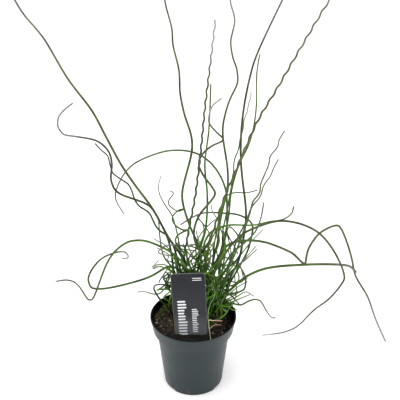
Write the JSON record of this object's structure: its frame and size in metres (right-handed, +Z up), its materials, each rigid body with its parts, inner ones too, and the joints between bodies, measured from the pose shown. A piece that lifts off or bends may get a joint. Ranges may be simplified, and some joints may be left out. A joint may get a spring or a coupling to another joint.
{
  "type": "corkscrew rush in a nursery pot",
  "caption": "Potted rush with long straight, wavy and corkscrew-wound stems over a dense tangle of curls, in a round tapered nursery pot with a collar and a blank plant tag in the soil.",
  "frame": {"origin": "centre of the pot's flat underside", "axes": "+Z up along the pot's axis, -Y the side that the plant tag faces"},
  "size_m": [0.4443, 0.2654, 0.5478],
  "materials": {
    "pot": "satin grey-green polypropylene, faintly scuffed",
    "soil": "moist peat potting soil with fibres and grit, matt",
    "tag": "charcoal printed plastic card, soft gloss",
    "stem_dark": "smooth waxy stem, dark olive",
    "stem_mid": "smooth waxy stem, mid green",
    "stem_bright": "smooth waxy stem, bright green"
  },
  "bodies": {
    "root": {"pot": "pot", "soil": "soil", "tag": "tag", "stem_tall_left": "stem_dark", "stem_far_left_hook": "stem_dark", "stem_left_stair": "stem_mid", "stem_arch_over": "stem_mid", "stem_tall_wave": "stem_mid", "stem_centre_corkscrew": "stem_mid", "stem_centre_upright": "stem_bright", "stem_big_corkscrew": "stem_mid", "stem_tall_curve": "stem_mid", "stem_tall_right": "stem_dark", "stem_right_corkscrew": "stem_dark", "stem_right_upright": "stem_bright", "stem_thin_twist": "stem_mid", "stem_right_twist_long": "stem_mid", "stem_right_twist_short": "stem_mid", "stem_short_upright": "stem_mid", "stem_great_bow": "stem_dark", "stem_upturned_tip": "stem_bright", "stem_far_right_fall": "stem_dark", "stem_level_right": "stem_dark", "stem_left_low_loop": "stem_mid", "stem_left_high_loop": "stem_mid", "stem_left_back_wave": "stem_mid", "stem_left_curl": "stem_bright", "stem_back_bow": "stem_mid", "stem_left_straight": "stem_mid", "stem_back_level": "stem_mid", "stem_low_right_tail": "stem_dark", "stem_right_inner_loop": "stem_mid", "stem_low_left_curl": "stem_dark", "stem_back_left": "stem_dark", "stem_back_fall": "stem_dark", "tuft_left": "stem_bright", "tuft_left_front": "stem_bright", "tuft_left_back": "stem_bright", "tuft_middle": "stem_bright", "tuft_middle_front": "stem_bright", "tuft_middle_right": "stem_bright", "tuft_right": "stem_bright", "tuft_right_front": "stem_bright", "tuft_right_back": "stem_bright", "tuft_back": "stem_bright"}
  },
  "joints": []
}
